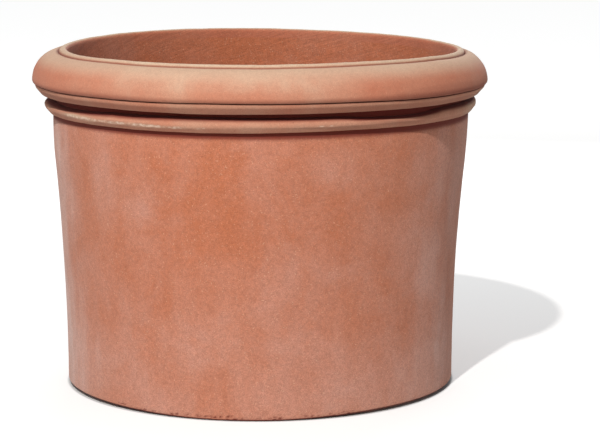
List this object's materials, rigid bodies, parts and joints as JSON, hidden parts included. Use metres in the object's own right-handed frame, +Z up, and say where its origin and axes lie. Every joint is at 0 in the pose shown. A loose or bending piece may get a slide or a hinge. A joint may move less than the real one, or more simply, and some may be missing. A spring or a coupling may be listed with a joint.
{
  "type": "terracotta pot",
  "caption": "Wide cylindrical plant pot, gently flared, with a rolled rim, a small raised lip, beads under the rim, an open top and a central drain hole.",
  "frame": {"origin": "on the ground, at the middle of the foot", "axes": "+Z up along the pot's axis, from the foot to the mouth; the pot is round, so +X and +Y are any two level directions, and -Y is taken as the front"},
  "size_m": [0.6, 0.6, 0.447],
  "materials": {
    "terracotta_wall": "matte",
    "terracotta_rim": "matte",
    "terracotta_beads": "matte",
    "terracotta_inside": "matte",
    "terracotta_base": "matte"
  },
  "bodies": {
    "root": {"base_slab": "terracotta_base", "corner_coil": "terracotta_inside", "wall": "terracotta_wall", "lip_coil": "terracotta_rim", "rim_roll": "terracotta_rim", "under_bead": "terracotta_beads", "collar_bead": "terracotta_beads"}
  },
  "joints": []
}
